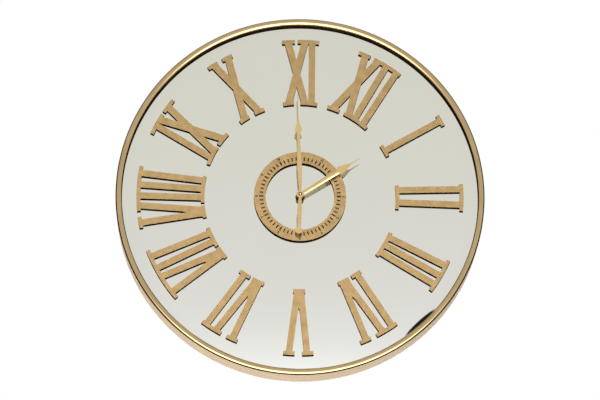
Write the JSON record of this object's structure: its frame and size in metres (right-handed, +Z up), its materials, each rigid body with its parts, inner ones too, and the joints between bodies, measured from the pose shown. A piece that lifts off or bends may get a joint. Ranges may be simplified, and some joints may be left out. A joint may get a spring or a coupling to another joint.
{
  "type": "mirror wall clock",
  "caption": "Round wall clock with a gilt hoop frame, mirror dial, applied Roman numerals, chapter ring and spade hands, with a quartz movement and a keyhole hanger.",
  "frame": {"origin": "middle of the clock's bounding box, on the axis of the hands", "axes": "+Y is into the wall, so the dial faces -Y; +Z is up to twelve o'clock; +X is to three o'clock"},
  "size_m": [0.5999, 0.0668, 0.6],
  "materials": {
    "hoop_paint": "tan painted sheet-steel hoop, satin, slightly worn",
    "gilt_bezel": "antique gilt bead with a rubbed highlight",
    "mirror": "silvered float glass, faintly warm",
    "board": "brown fibre board",
    "nail_brass": "small domed nails, dulled",
    "gold_leaf": "laser-cut board, matte gold paint, burnt edges",
    "print_black": "printed black marks and figures",
    "hand_brass": "brass sheet with crowned shafts, satin",
    "case_plastic": "black moulded plastic",
    "bush_brass": "turned brass, darkened with age",
    "rubber": "soft black rubber",
    "wheel_plastic": "natural acetal",
    "magnet_steel": "sintered magnet, dark grey",
    "plate_steel": "plated sheet steel",
    "coil_copper": "enamelled copper wire",
    "circuit_green": "green circuit board",
    "battery_sleeve": "plain dark grey sleeve, no print",
    "block_wood": "planed softwood"
  },
  "bodies": {
    "clock_body": {"hoop": "hoop_paint", "rear_rim": "hoop_paint", "bezel": "gilt_bezel", "mirror_glass": "mirror", "back_board": "board", "hoop_nails": "nail_brass", "numeral_01": "gold_leaf", "numeral_02": "gold_leaf", "numeral_03": "gold_leaf", "numeral_04": "gold_leaf", "numeral_05": "gold_leaf", "numeral_06": "gold_leaf", "numeral_07": "gold_leaf", "numeral_08": "gold_leaf", "numeral_09": "gold_leaf", "numeral_10": "gold_leaf", "numeral_11": "gold_leaf", "numeral_12": "gold_leaf", "chapter_ring": "gold_leaf", "chapter_marks": "print_black", "case_front": "case_plastic", "case_back": "case_plastic", "threaded_bush": "bush_brass", "rubber_washer": "rubber", "brass_washer": "bush_brass", "fixing_nut": "bush_brass", "stator": "plate_steel", "coil": "coil_copper", "circuit_board": "circuit_green", "battery": "battery_sleeve", "contact_plus": "plate_steel", "contact_minus": "plate_steel", "hanger_block": "block_wood", "keyhole_plate": "plate_steel", "hanger_screws": "plate_steel"},
    "minute_hand_set": {"minute_hand": "hand_brass", "hand_nut": "bush_brass", "minute_arbor": "bush_brass"},
    "hour_hand_set": {"hour_hand": "hand_brass", "hour_wheel": "bush_brass"},
    "minute_wheel_set": {"minute_wheel": "wheel_plastic"},
    "setting_knob_set": {"setting_knob": "case_plastic", "setting_pinion": "wheel_plastic"},
    "rotor_set": {"rotor": "magnet_steel"},
    "fifth_wheel_set": {"fifth_wheel": "wheel_plastic"},
    "seconds_wheel_set": {"seconds_wheel": "wheel_plastic"},
    "third_wheel_set": {"third_wheel": "wheel_plastic"},
    "centre_wheel_set": {"centre_wheel": "wheel_plastic"}
  },
  "joints": [
    {"name": "minute_hand_turn", "type": "hinge", "parent": "clock_body", "child": "minute_hand_set", "pos_m": [0, 0.01141, 0], "axis": [0, 1, 0], "continuous": true},
    {"name": "hour_hand_turn", "type": "hinge", "parent": "clock_body", "child": "hour_hand_set", "pos_m": [0, 0.01141, 0], "axis": [0, 1, 0], "continuous": true},
    {"name": "minute_wheel_turn", "type": "hinge", "parent": "clock_body", "child": "minute_wheel_set", "pos_m": [0.005, 0.01141, 0.00866], "axis": [0, 1, 0], "continuous": true},
    {"name": "setting_knob_turn", "type": "hinge", "parent": "clock_body", "child": "setting_knob_set", "pos_m": [-0.00366, 0.01141, 0.01366], "axis": [0, 1, 0], "continuous": true},
    {"name": "rotor_turn", "type": "hinge", "parent": "clock_body", "child": "rotor_set", "pos_m": [-0.01666, 0.01141, -0.00673], "axis": [0, 1, 0], "continuous": true},
    {"name": "fifth_wheel_turn", "type": "hinge", "parent": "clock_body", "child": "fifth_wheel_set", "pos_m": [-0.01064, 0.01141, 0.00187], "axis": [0, 1, 0], "continuous": true},
    {"name": "seconds_wheel_turn", "type": "hinge", "parent": "clock_body", "child": "seconds_wheel_set", "pos_m": [0, 0.01141, 0], "axis": [0, 1, 0], "continuous": true},
    {"name": "third_wheel_turn", "type": "hinge", "parent": "clock_body", "child": "third_wheel_set", "pos_m": [0.01339, 0.01141, 0.00236], "axis": [0, 1, 0], "continuous": true},
    {"name": "centre_wheel_turn", "type": "hinge", "parent": "clock_body", "child": "centre_wheel_set", "pos_m": [0, 0.01141, 0], "axis": [0, 1, 0], "continuous": true}
  ],
  "couplings": [
    {"joint": "minute_wheel_turn", "follows": "minute_hand_turn", "ratio": -0.33333},
    {"joint": "hour_hand_turn", "follows": "minute_hand_turn", "ratio": 0.083333},
    {"joint": "setting_knob_turn", "follows": "minute_hand_turn", "ratio": 1},
    {"joint": "fifth_wheel_turn", "follows": "rotor_turn", "ratio": -0.16667},
    {"joint": "seconds_wheel_turn", "follows": "rotor_turn", "ratio": 0.033333},
    {"joint": "third_wheel_turn", "follows": "rotor_turn", "ratio": -0.0044444},
    {"joint": "centre_wheel_turn", "follows": "rotor_turn", "ratio": 0.00055556}
  ]
}
